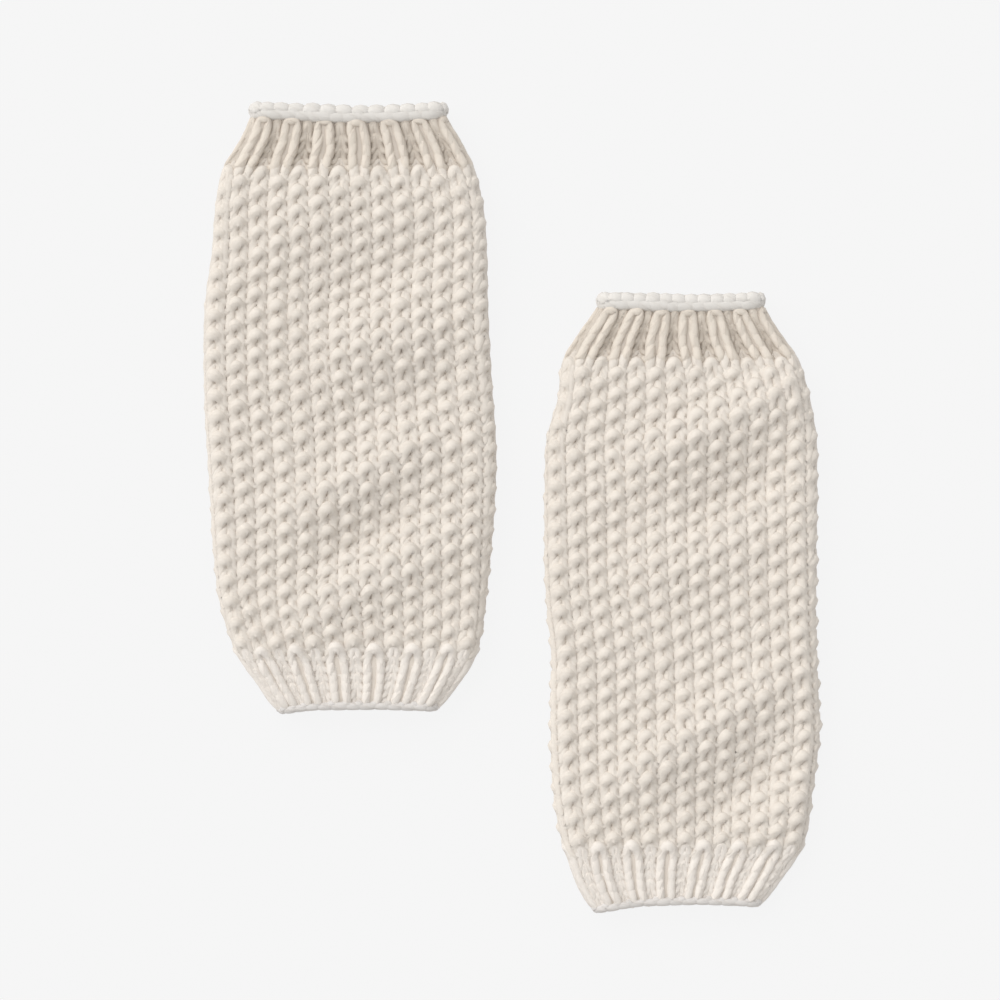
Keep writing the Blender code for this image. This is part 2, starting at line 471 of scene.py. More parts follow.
@dataclass
class Courses:
    """The courses of one leg warmer: how many each stretch has, and where each lies."""

    top_edge_end: float
    top_cuff_end: float
    leg_end: float
    bottom_cuff_end: float
    top_cuff: int = 4
    leg: int = 48
    bottom_cuff: int = 5

    @property
    def total(self) -> int:
        """Number of courses in all."""
        return self.top_cuff + self.leg + self.bottom_cuff

    @property
    def marks(self) -> Array:
        """Courses at which the stretches begin and end."""
        return np.cumsum([0, self.top_cuff, self.leg, self.bottom_cuff])

    @property
    def ends(self) -> list[float]:
        """How far down the stretches begin and end."""
        return [self.top_edge_end, self.top_cuff_end, self.leg_end, self.bottom_cuff_end]

    def down(self, course: Array) -> Array:
        """Find how far down a place between the courses lies.

        Args:
            course: places in courses.

        Returns:
            Their distances down.
        """
        before = self.top_edge_end + course * (self.top_cuff_end - self.top_edge_end) / self.top_cuff
        beyond = course - self.total
        after = self.bottom_cuff_end + beyond * (self.bottom_cuff_end - self.leg_end) / self.bottom_cuff
        inside = np.interp(course, self.marks, self.ends)
        return np.where(course < 0, before, np.where(beyond > 0, after, inside))

    def at(self, down: Array) -> Array:
        """Find which course lies at a distance down.

        Args:
            down: distances down.

        Returns:
            The places there, in courses.
        """
        return np.interp(down, self.ends, self.marks)

    def ribbed(self, course: Array) -> Array:
        """Tell how much of a place's shape is that of a rib cuff.

        Args:
            course: places in courses.

        Returns:
            1 in the cuffs and 0 in the leg, with a short blend between them.
        """
        above = np.clip((self.top_cuff - course) / PATTERN_BLEND + 0.5, 0, 1)
        below = np.clip((course - self.top_cuff - self.leg) / PATTERN_BLEND + 0.5, 0, 1)
        return np.maximum(above, below)

    def signs(self, stitch: Array, course: Array) -> Array:
        """Tell knit stitches from purl ones, in the pattern that each course is worked in.

        Args:
            stitch: the stitches' numbers.
            course: the courses' numbers.

        Returns:
            1 for each knit stitch and -1 for each purl one.
        """
        in_leg = (course >= self.top_cuff) & (course < self.top_cuff + self.leg)
        return np.where(in_leg, Pattern.MOSS.signs(stitch, course), Pattern.RIB.signs(stitch, course))


@dataclass(frozen=True)
class LoopShape:
    """The shape of one loop of yarn.

    The leans say how far its foot and its head are wider than even, in stitches. reach is how far
    its head and its feet lie from its middle, in courses. The depths say how far its parts lie to
    the front or the back, in millimetres. tilt is how much higher the right side of its head is.
    """

    foot_lean: float
    head_lean: float
    foot_depth: float
    neck_depth: float
    shoulder_depth: float
    head_depth: float
    tilt: float = 0.0
    reach: float = 0.98

    def depths(self, way: Array) -> Array:
        """Weigh what a loop's own sign and its neighbours' say about its depth on its way.

        Args:
            way: shares of the loop's way from one sinker to the next.

        Returns:
            For each step, the depth that the sign before, its own, the next and the one above add.
        """
        knots = np.array([0, FOOT, NECK, SHOULDER, CROWN, 0.5])
        half = np.minimum(way, 1 - way)
        i = np.clip(np.searchsorted(knots, half, side="right") - 1, 0, len(knots) - 2)
        t = (half - knots[i]) / (knots[i + 1] - knots[i])
        t = t * t * (3 - 2 * t)
        sinker = -self.foot_depth / 2
        own = np.array([sinker, -self.foot_depth, self.neck_depth, 0, 0, 0])
        above = np.array([0, 0, 0, self.shoulder_depth, -self.head_depth, -self.head_depth])
        beside = np.array([sinker, 0, 0, 0, 0, 0])
        own, above, beside = (part[i] + (part[i + 1] - part[i]) * t for part in (own, above, beside))
        return np.stack([np.where(way < 0.5, beside, 0), own, np.where(way < 0.5, 0, beside), above])


# The leans of foot and head, then the depths of foot, neck, shoulder and head
MOSS_LOOP = LoopShape(0.11, 0.02, 0.1, 0.1, 0.8, 1.1, tilt=0.75)
CREST_LOOP = LoopShape(0.11, 0.05, 0.2, 0.2, 0.5, 1.05, tilt=1.3)
RIB_LOOP = LoopShape(0.12, 0.05, 1.0, 1.0, 0.7, 1.0, reach=1.25)
RIB_FOOT_LOOP = LoopShape(0.16, 0.05, -0.6, 1.0, 0.7, 1.0, reach=0.85)
RIB_LOOPS = (RIB_LOOP, RIB_FOOT_LOOP)


@dataclass
class Knitter:
    """Knits the courses of one leg warmer on its form.

    The sinks and the gutter are the depths of the grooves between ribs and between the leg's
    columns. band_fill is how much of that is filled up near the cast-off chain, over band_reach
    courses. The other band sizes tuck the first loops under that chain. groove_overrun is how many
    courses the ribs' grooves run on into the leg. rib_gather widens the knit columns over the purl
    ones, spread opens a loop, and flat_top flattens its ends. fold_calm evens the loops at the side
    folds, and layer_room keeps them off the other layer. head_girth thickens what stands out, and
    rib_thinning thins a rib's yarn. The strays say how far the heads of the loops wander.
    """

    form: TubeForm
    courses: Courses
    yarn: Yarn
    seed: int
    stray_across: float = 0.035
    stray_down: float = 0.065
    stray_tilt: float = 0.3
    stray_girth: float = 0.06
    top_rib_sink: float = 1.25
    bottom_rib_sink: float = 0.55
    gutter: float = 0.5
    band_fill: float = 0.7
    band_reach: float = 1.3
    band_sign: float = -0.3
    band_level: float = 0.15
    band_slope: float = 0.1
    groove_overrun: float = 0.5
    rib_gather: float = 0.44
    spread: float = 0.025
    flat_top: float = 0.35
    fold_calm: float = 0.65
    layer_room: float = 1.0
    head_girth: float = 0.25
    rib_thinning: float = 0.16

    def sink(self, across: Array, level: Array) -> Array:
        """Measure how deep the wool lies in the grooves between ribs and between columns.

        Args:
            across: places in stitches.
            level: places in courses.

        Returns:
            The depth at each place, at or below zero.
        """
        in_top_half = level < self.courses.total / 2
        ribbed = self.courses.ribbed(level - np.where(in_top_half, self.groove_overrun, 0.0))
        near_band = np.exp(-np.maximum(level, 0) / self.band_reach)
        top_rib_sink = self.top_rib_sink * (1 - self.band_fill * near_band)
        rib_sink = np.where(in_top_half, top_rib_sink, self.bottom_rib_sink)
        groove = rib_sink * (np.cos(math.pi * (across - KNIT_MIDDLE)) - 1)
        return ribbed * groove - (1 - ribbed) * self.gutter * (1 + np.cos(TURN * across)) / 2

    def signs_round(self, stitch: Array, course: Array) -> tuple[Array, Array]:
        """Gather the signs that shape each loop: before it, its own, after it and above it.

        Args:
            stitch: the stitches' numbers.
            course: the courses' numbers.

        Returns:
            The four signs of each loop, in the leg and in a rib.
        """
        own = self.courses.signs(stitch, course)
        above = np.where(course == 0, self.band_sign, self.courses.signs(stitch, course - 1))
        purl_column = stitch % 2 == 0
        above = np.where((course == self.courses.top_cuff) & purl_column, RIB_PURL * above, above)
        signs = np.stack([np.roll(own, 1, axis=1), own, np.roll(own, -1, axis=1), above])
        return signs, np.where(purl_column, RIB_PURL, 1.0) * signs

    def shares(self, stitch: Array, course: Array) -> list[tuple[LoopShape, Array]]:
        """Tell how much of each loop's shape the stitches have.

        Args:
            stitch: the stitches' numbers.
            course: the courses' numbers.

        Returns:
            The shapes, each with its share in every stitch.
        """
        middle = self.courses.down(course)
        crest = self.form.crest(self.form.column_turns(stitch + 0.5, middle), middle)
        ribbed = self.courses.ribbed(course + 0.5)
        footing = np.where(course == self.courses.top_cuff - 1, 1.0, 0.0)
        return [
            (MOSS_LOOP, (1 - ribbed) * (1 - crest)),
            (CREST_LOOP, (1 - ribbed) * crest),
            (RIB_LOOP, ribbed * (1 - footing)),
            (RIB_FOOT_LOOP, ribbed * footing),
        ]

    def paths(self, first: int, last: int) -> Strand:
        """Lay the yarn of a run of courses.

        Args:
            first: the number of the first course.
            last: the number of the course after the last one.

        Returns:
            Where the rings of yarn run.
        """
        rounds, columns = np.arange(first, last), np.arange(STITCHES_ROUND)
        course, stitch = np.meshgrid(rounds, columns, indexing="ij")
        signs, rib_signs = self.signs_round(stitch, course)
        shares = self.shares(stitch, course)

        def part(name: str) -> Array:
            """Blend one size of the loops' shapes, for every stitch."""
            return sum(getattr(loop, name) * share for loop, share in shares)[..., None]

        way = np.arange(LOOP_STEPS) / LOOP_STEPS
        turn = TURN * way
        high = np.sin(turn / 2) ** 2
        depth = 0
        for loop, share in shares:
            its_signs = rib_signs if loop in RIB_LOOPS else signs
            depth = depth + np.einsum("krs,kt->rst", its_signs, loop.depths(way)) * share[..., None]

        rings = last - first
        random = np.random.default_rng(self.seed + first)
        drawn = random.normal(0, 1, (4, rings, STITCHES_ROUND, 1))
        lean = part("foot_lean") * (1 - high) + part("head_lean") * high
        across = stitch[..., None] + way + lean * np.sin(2 * turn) - self.spread * np.sin(turn)
        across = across + self.stray_across * drawn[0] * high
        wave = (1 + self.flat_top) * np.cos(turn) - self.flat_top * np.cos(turn) ** 3
        level = course[..., None] + 0.5 + part("reach") * wave + self.stray_down * drawn[1] * high
        tucked = (course[..., None] == 0) & (level < self.band_level)
        level = np.where(tucked, self.band_level - self.band_slope * high, level)
        level = level - (part("tilt") + self.stray_tilt * drawn[2]) * (way - 0.5) * high
        size = 1 + self.stray_girth * drawn[3] * high

        ribbed = self.courses.ribbed(level)
        sunk = self.sink(across, level)
        across = across + ribbed * self.rib_gather / math.pi * np.sin(math.pi * (across - KNIT_MIDDLE))
        down = self.courses.down(level)
        turns = self.form.column_turns(across, down)
        depth = depth * (1 - self.fold_calm * self.form.bend(turns, down)[1] ** 2)
        swell = self.head_girth * (1 - ribbed) * np.maximum(depth, 0)
        girth = size * (1 + swell - self.rib_thinning * ribbed)
        out = np.maximum(depth + sunk, self.layer_room - self.form.layer_shape(down)[0])
        return self.form.lay(*(places.reshape(rings, -1) for places in (turns, down, out, girth)))

    def piece(self, name: str, first: int, last: int) -> Piece:
        """Knit a run of courses as one object.

        Args:
            name: the object's name.
            first: the number of the first course.
            last: the number of the course after the last one.

        Returns:
            The new object.
        """
        return link(name, self.yarn.ring_mesh(name, self.paths(first, last)))


@dataclass(frozen=True)
class ChainEdge:
    """A chain of links round a mouth, each drawn through the one before it.

    inset is how far the chain's middle lies from its own end of the tube, and reach is how far a
    link goes on, in stitches. uneven is how much the links differ, and the sways say how far that
    shifts a link across and down, and changes its thickness.
    """

    inset: float
    width: float
    reach: float
    depth: float
    yarn: Yarn
    uneven: float = 0.12
    sway_across: float = 0.5
    sway_down: float = 1.5
    sway_girth: float = 0.5
    steps: int = 12

    def piece(self, name: str, form: TubeForm, middle: float) -> Piece:
        """Work the chain round a leg warmer.

        Args:
            name: the object's name.
            form: the leg warmer's form.
            middle: how far down the middle of the chain lies.

        Returns:
            The new object.
        """
        way = np.arange(STITCHES_ROUND * self.steps) / self.steps
        turn = TURN * way
        random = np.random.default_rng(STITCHES_ROUND)
        links = np.arange(STITCHES_ROUND + 1)
        drawn = random.normal(0, self.uneven, (3, STITCHES_ROUND))
        drawn = np.array([np.interp(way, links, np.append(row, row[0])) for row in drawn])
        across = way - self.reach * np.cos(turn) + self.sway_across * drawn[0]
        down = middle + self.width / 2 * np.sin(turn) + self.sway_down * drawn[1]
        out = -self.depth * np.cos(2 * turn)
        turns = form.column_turns(across, down)
        girth = 1 + self.sway_girth * drawn[2]
        laid = form.lay(turns[None], down[None], out[None], girth[None])
        return link(name, self.yarn.ring_mesh(name, laid))


CAST_OFF = ChainEdge(inset=3.4, width=1.8, reach=0.85, depth=0.35, yarn=Yarn(thick=5.2, flatness=0.75))
CAST_ON = ChainEdge(inset=1.7, width=0.9, reach=0.55, depth=0.5, yarn=Yarn(thick=2.9))


@dataclass(frozen=True)
class Ground:
    """The thin web of wool behind the loops, which closes the holes between them.

    The insets say how far it ends from the ends of the tube. It lies depth behind mid wall in the
    leg and rib_rise in front of it in the cuffs. The shades say how much painted shade it gets
    there, most in the upper cuff, and layer_room keeps it off the other layer.
    """

    top_inset: float = 3.0
    bottom_inset: float = 2.0
    half_thick: float = 0.4
    depth: float = 0.3
    rib_rise: float = 0.3
    shade: float = 0.5
    top_rib_shade: float = 1.4
    bottom_rib_shade: float = 0.5
    layer_room: float = 0.8
    steps_a_stitch: int = 4
    rows: int = 72

    def rows_down(self, form: TubeForm) -> Array:
        """Space the web's rows evenly.

        Args:
            form: the leg warmer's form.

        Returns:
            Their distances down.
        """
        return np.linspace(self.top_inset, form.length - self.bottom_inset, self.rows + 1)

    def piece(self, name: str, knitter: Knitter) -> Piece:
        """Build the web as a thin closed wall.

        Args:
            name: the object's name.
            knitter: the leg warmer's knitter.

        Returns:
            The new object.
        """
        form, courses = knitter.form, knitter.courses
        stitches = np.arange(STITCHES_ROUND * self.steps_a_stitch) / self.steps_a_stitch
        down = self.rows_down(form)[:, None]
        course = courses.at(down)
        ribbed = courses.ribbed(course)
        back = self.depth - (self.depth + self.rib_rise) * ribbed
        nearest = self.layer_room - form.layer_shape(down)[0]
        middle = np.maximum(knitter.sink(stitches, course) - back, nearest)
        turns = form.column_turns(stitches, down)
        outer = form.points(turns, down, middle + self.half_thick)
        inner = form.points(turns, down, middle - self.half_thick)
        rings = np.concatenate([outer, inner[::-1]])

        corner = np.arange(rings.size // 3).reshape(rings.shape[:2])
        onward, beside = np.roll(corner, -1, axis=0), np.roll(corner, -1, axis=1)
        faces = np.stack([corner, onward, np.roll(onward, -1, axis=1), beside], axis=-1)
        uv = np.zeros((faces.size, 2))
        # Painted shade on the web, which darkens the holes between loops and the rib grooves
        rib_shade = np.where(down < form.length / 2, self.top_rib_shade, self.bottom_rib_shade)
        shade = np.broadcast_to(self.shade + (rib_shade - self.shade) * ribbed, turns.shape)
        return link(name, skin_mesh(name, rings, faces, uv, np.concatenate([shade, shade[::-1]])))

    def cut(self, form: TubeForm) -> tuple[tuple[float, float], float]:
        """Measure the cloth laid out flat.

        Args:
            form: the leg warmer's form.

        Returns:
            Its largest width and its length in metres, and its flat area in square metres.
        """
        down = self.rows_down(form)
        radius, flat = form.layer_shape(down)
        round_way = 2 * (flat + math.pi * radius)
        length = float(form.length - self.bottom_inset - self.top_inset)
        area = float(np.mean((round_way[1:] + round_way[:-1]) / 2)) * length
        return (float(round_way.max()) * MM, length * MM), area * MM * MM


def link(name: str, data: bpy.types.ID) -> Piece:
    """Put a mesh, a lamp or a camera into the scene.

    Args:
        name: the object's name.
        data: its mesh, lamp or camera.

    Returns:
        The new object.
    """
    piece = bpy.data.objects.new(name, data)
    bpy.context.scene.collection.objects.link(piece)
    return piece


def set_inputs(node: bpy.types.Node, values: dict[str, object]) -> None:
    """Set inputs of a node.

    Args:
        node: the node.
        values: the plain values by the inputs' names.
    """
    for label, value in values.items():
        node.inputs[label].default_value = value


@dataclass
class Nodes:
    """A short way to add nodes to a tree and join them."""

    tree: bpy.types.NodeTree

    def add(self, kind: str, **settings: object) -> bpy.types.Node:
        """Add a node.

        Args:
            kind: the node's type, without its common prefix.
            settings: the node's own settings.

        Returns:
            The new node.
        """
        node = self.tree.nodes.new("ShaderNode" + kind)
        for name, value in settings.items():
            setattr(node, name, value)
        return node

    def feed(self, socket: Socket, value: object) -> None:
        """Join another socket to this one, or set its plain value.

        Args:
            socket: the input.
            value: the other socket, or the plain value.
        """
        if isinstance(value, Socket):
            self.tree.links.new(value, socket)
        else:
            socket.default_value = value

    def math(self, operation: str, first: object, second: object = 0.0, third: object = 0.0) -> Socket:
        """Do one sum.

        Args:
            operation: the sum's name.
            first: its first value or socket.
            second: its second value or socket.
            third: its third value or socket.

        Returns:
            The socket with the answer.
        """
        node = self.add("Math", operation=operation)
        for socket, value in zip(node.inputs, (first, second, third)):
            self.feed(socket, value)
        return node.outputs[0]

    def mix(self, share: object, first: object, second: object) -> Socket:
        """Mix two colours.

        Args:
            share: how much of the second one shows.
            first: the first colour or socket.
            second: the second colour or socket.

        Returns:
            The socket with the colour.
        """
        node = self.add("Mix", data_type="RGBA")
        self.feed(node.inputs[0], share)
        self.feed(node.inputs[6], first)
        self.feed(node.inputs[7], second)
        return node.outputs[2]

    def noise(self, where: Socket, scale: float, detail: float) -> Socket:
        """Read soft noise.

        Args:
            where: the socket with the place.
            scale: how fine the noise is.
            detail: how many finer layers it has.

        Returns:
            The socket with the noise's value.
        """
        node = self.add("TexNoise")
        self.feed(node.inputs["Vector"], where)
        set_inputs(node, {"Scale": scale, "Detail": detail})
        return node.outputs[0]


def new_group(name: str, inputs: dict[str, float], outputs: dict[str, str]) -> bpy.types.NodeTree:
    """Start a shader node group.

    Args:
        name: the group's name.
        inputs: its number inputs and their usual values.
        outputs: its outputs and their socket types.

    Returns:
        The group, with its input and output nodes in place.
    """
    group = bpy.data.node_groups.new(name, "ShaderNodeTree")
    for label, value in inputs.items():
        socket = group.interface.new_socket(label, in_out="INPUT", socket_type="NodeSocketFloat")
        socket.default_value = value
    for label, kind in outputs.items():
        group.interface.new_socket(label, in_out="OUTPUT", socket_type=kind)
    group.nodes.new("NodeGroupInput")
    group.nodes.new("NodeGroupOutput")
    return group


def ply_twist_group() -> bpy.types.NodeTree:
    """Build the twist of the plies round the yarn and the fibres that run along them.

    Returns:
        The group, which puts out a height, and how open to the light a place is: a mask, low in the ply
        grooves and in dark fibre streaks, by which the materials paint shade into the ply grooves.
    """
    group = new_group(
        "ply_twist",
        {"Plies": 3.0, "Fibre": 0.9},
        {"Height": "NodeSocketFloat", "Open": "NodeSocketFloat"},
    )
    nodes = Nodes(group)
    given = group.nodes["Group Input"].outputs
    place = nodes.add("UVMap", uv_map=YARN_MAP)
    parts = nodes.add("SeparateXYZ")
    nodes.feed(parts.inputs[0], place.outputs[0])
    along, about = parts.outputs[0], parts.outputs[1]
    phase = nodes.math("ADD", nodes.math("MULTIPLY", about, given["Plies"]), along)
    ply = nodes.math("ABSOLUTE", nodes.math("SINE", nodes.math("MULTIPLY", phase, math.pi)))
    ply = nodes.math("POWER", ply, PLY_ROUNDNESS)

    lag = nodes.math("ADD", about, nodes.math("DIVIDE", along, given["Plies"]))
    lag = nodes.math("MULTIPLY", lag, TURN)
    spot = nodes.add("CombineXYZ")
    nodes.feed(spot.inputs[0], nodes.math("COSINE", lag))
    nodes.feed(spot.inputs[1], nodes.math("SINE", lag))
    nodes.feed(spot.inputs[2], nodes.math("MULTIPLY", along, FIBRE_STRETCH))
    fibre = nodes.noise(spot.outputs[0], scale=11.0, detail=5.0)
    lit_ply = nodes.math("MULTIPLY_ADD", ply, PLY_GLOW, BASE_GLOW)
    out = group.nodes["Group Output"].inputs
    nodes.feed(out["Height"], nodes.math("MULTIPLY_ADD", fibre, given["Fibre"], ply))
    nodes.feed(out["Open"], nodes.math("MULTIPLY_ADD", fibre, FIBRE_GLOW, lit_ply))
    return group


def wool_shade_group() -> bpy.types.NodeTree:
    """Build the slow drift and the fine flecks of a wool's colour.

    Returns:
        The group, which puts out how far the colour leans to its second tone.
    """
    group = new_group("wool_shade", {"Drift": 0.5, "Fleck": 0.5}, {"Tone": "NodeSocketFloat"})
    nodes = Nodes(group)
    given = group.nodes["Group Input"].outputs
    place = nodes.add("TexCoord").outputs["Object"]
    broad = nodes.noise(place, scale=45.0, detail=2.0)
    fine = nodes.noise(place, scale=900.0, detail=2.0)
    drift = nodes.math("MULTIPLY", nodes.math("SUBTRACT", broad, 0.5), given["Drift"])
    fleck = nodes.math("MULTIPLY", nodes.math("SUBTRACT", fine, 0.5), given["Fleck"])
    tone = nodes.math("ADD", nodes.math("ADD", drift, fleck), 0.5)
    nodes.feed(group.nodes["Group Output"].inputs["Tone"], tone)
    return group


@dataclass(frozen=True)
class WoolFinish:
    """A wool: its tones, its painted shade in ply grooves and deep places, how deep its plies show."""

    name: str
    slot: str
    light: tuple[float, float, float]
    warm: tuple[float, float, float]
    # groove is painted shade in the ply grooves, mixed with dark fibre streaks; hollow is the painted
    # shade colour that deep places are mixed towards, and the strength below says how much
    groove: tuple[float, float, float]
    hollow: tuple[float, float, float] = (0.50, 0.44, 0.38)
    painted_shade_strength: float = 0.3
    ply_depth: float = 0.2
    roughness: float = 0.9
    specular: float = 0.2
    sheen: float = 0.08
    sheen_roughness: float = 0.6

    def material(self) -> bpy.types.Material:
        """Make the material.

        Returns:
            The new material.
        """
        made = bpy.data.materials.new(self.name)
        made.use_nodes = True
        nodes = Nodes(made.node_tree)
        shader = made.node_tree.nodes["Principled BSDF"]

        twist = nodes.add("Group", node_tree=bpy.data.node_groups["ply_twist"])
        shade = nodes.add("Group", node_tree=bpy.data.node_groups["wool_shade"])
        body = nodes.mix(shade.outputs["Tone"], (*self.light, 1), (*self.warm, 1))
        # Painted shade in the ply grooves, partly real fibre streaks
        plied = nodes.mix(twist.outputs["Open"], (*self.groove, 1), body)
        # Painted shade: wool deep in the wall is darkened towards the hollow colour
        deep = nodes.add("Attribute", attribute_name=PAINTED_SHADE_MAP)
        share = nodes.math("MULTIPLY", deep.outputs["Fac"], self.painted_shade_strength)
        colour = nodes.mix(share, plied, (*self.hollow, 1))
        nodes.feed(shader.inputs["Base Color"], colour)
        bump = nodes.add("Bump")
        set_inputs(bump, {"Distance": self.ply_depth * MM})
        nodes.feed(bump.inputs["Height"], twist.outputs["Height"])
        nodes.feed(shader.inputs["Normal"], bump.outputs[0])
        looks = {
            "Roughness": self.roughness,
            "Specular IOR Level": self.specular,
            "Sheen Weight": self.sheen,
            "Sheen Roughness": self.sheen_roughness,
        }
        set_inputs(shader, looks)
        return made

    def dress(self, piece: Piece) -> None:
        """Give a piece this finish.

        Args:
            piece: the piece to dress.
        """
        made = bpy.data.materials.get(self.name) or self.material()
        piece.data.materials.append(made)


MOSS_WOOL = WoolFinish(
    "moss_stitch_wool",
    "moss_wool",
    light=(0.755, 0.70, 0.635),
    warm=(0.735, 0.675, 0.605),
    groove=(0.67, 0.61, 0.54),
    painted_shade_strength=0.5,
)
# The upper cuff's darker copy of the rib wool: painted shade, with a darker hollow colour laid on more
# strongly
SHADED_UPPER_RIB_WOOL = WoolFinish(
    "shaded_upper_rib_wool",
    "rib_wool",
    light=(0.745, 0.68, 0.60),
    warm=(0.725, 0.655, 0.57),
    groove=(0.65, 0.575, 0.495),
    hollow=(0.34, 0.29, 0.24),
    painted_shade_strength=0.55,
)
# The lower cuff's lighter copy of the rib wool: painted light, with weaker painted shade
LIT_LOWER_RIB_WOOL = WoolFinish(
    "lit_lower_rib_wool",
    "rib_wool",
    light=(0.805, 0.755, 0.70),
    warm=(0.785, 0.73, 0.67),
    groove=(0.72, 0.66, 0.595),
    painted_shade_strength=0.25,
)
# Darker than the leg's wool: painted shade along the cast-on edge
CAST_ON_WOOL = WoolFinish(
    "cast_on_edge_wool",
    "edge_wool",
    light=(0.69, 0.66, 0.635),
    warm=(0.67, 0.64, 0.61),
    groove=(0.62, 0.575, 0.53),
)
CAST_OFF_WOOL = WoolFinish(
    "chain_edge_wool",
    "edge_wool",
    light=(0.72, 0.695, 0.66),
    warm=(0.71, 0.68, 0.64),
    groove=(0.66, 0.625, 0.58),
)


@dataclass
class LegWarmer:
    """One leg warmer: its form, its courses, and the pieces that are knitted on them."""

    name: str
    form: TubeForm
    courses: Courses
    seed: int
    yarn: Yarn = Yarn()
    pieces: list[Piece] = field(default_factory=list)

    def keep(self, piece: Piece, finish: WoolFinish, node: str) -> None:
        """Dress a piece, and let it ride and stand for its solid.

        Args:
            piece: the new piece.
            finish: its wool.
            node: the solid that it stands for, without the leg warmer's name.
        """
        finish.dress(piece)
        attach(piece, BODY)
        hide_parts(f"{self.name}_{node}")
        self.pieces.append(piece)
        LOG.info("%s: %d faces", piece.name, len(piece.data.polygons))

    @property
    def knitter(self) -> Knitter:
        """The knitter of this leg warmer."""
        return Knitter(self.form, self.courses, self.yarn, self.seed)

    def knit(self) -> None:
        """Knit the cuffs and the leg, which is worked in two halves."""
        knitter = self.knitter
        cuff_end = self.courses.top_cuff
        middle = cuff_end + self.courses.leg // 2
        leg_end = cuff_end + self.courses.leg
        runs = (
            ("upper_rib_knit", 0, cuff_end, SHADED_UPPER_RIB_WOOL, "upper_rib_cuff"),
            ("moss_knit_upper", cuff_end, middle, MOSS_WOOL, "moss_stitch_leg"),
            ("moss_knit_lower", middle, leg_end, MOSS_WOOL, "moss_stitch_leg"),
            ("lower_rib_knit", leg_end, self.courses.total, LIT_LOWER_RIB_WOOL, "lower_rib_cuff"),
        )
        for name, first, last, finish, node in runs:
            self.keep(knitter.piece(f"{self.name}_{name}", first, last), finish, node)

    def finish_edges(self) -> None:
        """Work the cast-off chain and the cast-on edge."""
        bottom = self.form.length - CAST_ON.inset
        cast_off = CAST_OFF.piece(f"{self.name}_cast_off_chain", self.form, CAST_OFF.inset)
        cast_on = CAST_ON.piece(f"{self.name}_cast_on_chain", self.form, bottom)
        self.keep(cast_off, CAST_OFF_WOOL, "cast_off_edge")
        self.keep(cast_on, CAST_ON_WOOL, "cast_on_edge")

    def lay_ground(self) -> None:
        ground = Ground()
        web = ground.piece(f"{self.name}_wool_web", self.knitter)
        MOSS_WOOL.dress(web)
        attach(web, BODY)
        flat, area = ground.cut(self.form)
        LOG.info("%s: cut %.0f by %.0f mm", web.name, flat[0] / MM, flat[1] / MM)

    def build(self) -> None:
        """Make the whole leg warmer."""
        self.knit()
        self.finish_edges()
        self.lay_ground()


# Down, left, right, thick and spread
LEFT_SECTIONS = [
    (0.0, -36.9, 36.6, 13.2, 0.13),
    (7.5, -37.3, 36.9, 12.9, 0.13),
    (14.9, -40.7, 41.5, 12.8, 0.11),
    (23.1, -45.8, 45.4, 13.3, 0.1),
    (34.4, -48.4, 48.3, 13.8, 0.1),
    (52.2, -49.9, 50.1, 13.8, 0.05),
    (69.9, -52.2, 50.4, 13.8, 0),
    (105.4, -52.5, 52.2, 13.8, 0),
    (123.2, -51.5, 53.3, 13.8, 0),
    (140.9, -50.4, 52.9, 13.8, 0),
    (158.7, -49.3, 51.5, 13.8, 0.03),
    (176.4, -47.2, 49.7, 13.6, 0.1),
    (190.6, -43.0, 47.9, 13.3, 0.12),
    (197.7, -40.1, 45.8, 13.0, 0.13),
    (204.8, -34.8, 41.2, 12.8, 0.17),
    (211.9, -29.8, 35.9, 12.8, 0.2),
    (216.2, -26.0, 32.0, 12.8, 0.2),
]
# Across, down, turn, length, breadth and height
LEFT_FOLDS = [
    (-18.0, 45.0, 40, 36, 9.0, 0.8),
    (12.0, 60.0, 28, 46, 8.5, -1.1),
    (13.0, 85.0, 6, 38, 10.5, 1.8),
    (13.0, 108.0, 18, 42, 8.0, -1.1),
    (4.0, 133.0, 28, 60, 7.5, 1.5),
    (5.0, 153.5, 30, 46, 6.5, -1.4),
    (11.0, 168.0, 28, 72, 8.0, 1.1),
]
LEFT = LegWarmer(
    name="left",
    seed=28,
    courses=Courses(top_edge_end=6.4, top_cuff_end=22.9, leg_end=195.8, bottom_cuff_end=212.6),
    form=TubeForm(
        x=-57.38,
        y=143.25,
        twist=0.45,
        top=End(hollow=2.0, tilt=-0.6),
        bottom=End(hollow=1.6, tilt=0.6),
        sections=[Section(*row) for row in LEFT_SECTIONS],
        folds=[Fold(*row) for row in LEFT_FOLDS],
    ),
)

# Down, left, right, thick and spread
RIGHT_SECTIONS = [
    (0.0, -31.2, 31.2, 13.2, 0.05),
    (7.1, -32.0, 32.0, 12.9, 0.05),
    (15.3, -38.0, 36.9, 12.8, 0.05),
    (23.1, -42.6, 42.2, 13.3, 0.08),
    (38.3, -44.9, 46.9, 13.8, 0.12),
    (52.5, -48.9, 49.3, 13.8, 0.06),
    (66.7, -49.4, 49.4, 13.8, 0.03),
    (109.3, -49.0, 49.3, 13.8, 0.02),
    (130.6, -47.2, 49.7, 13.8, 0),
    (144.8, -47.6, 50.4, 13.8, 0),
    (159.0, -47.6, 50.4, 13.8, 0),
    (173.2, -46.9, 48.5, 13.8, 0),
    (187.4, -45.1, 46.5, 13.5, 0.02),
    (198.1, -42.6, 43.8, 13.0, 0.03),
    (205.2, -40.2, 39.0, 12.8, 0.04),
    (212.3, -36.9, 34.1, 12.8, 0.05),
    (218.7, -32.4, 29.2, 12.8, 0.05),
]
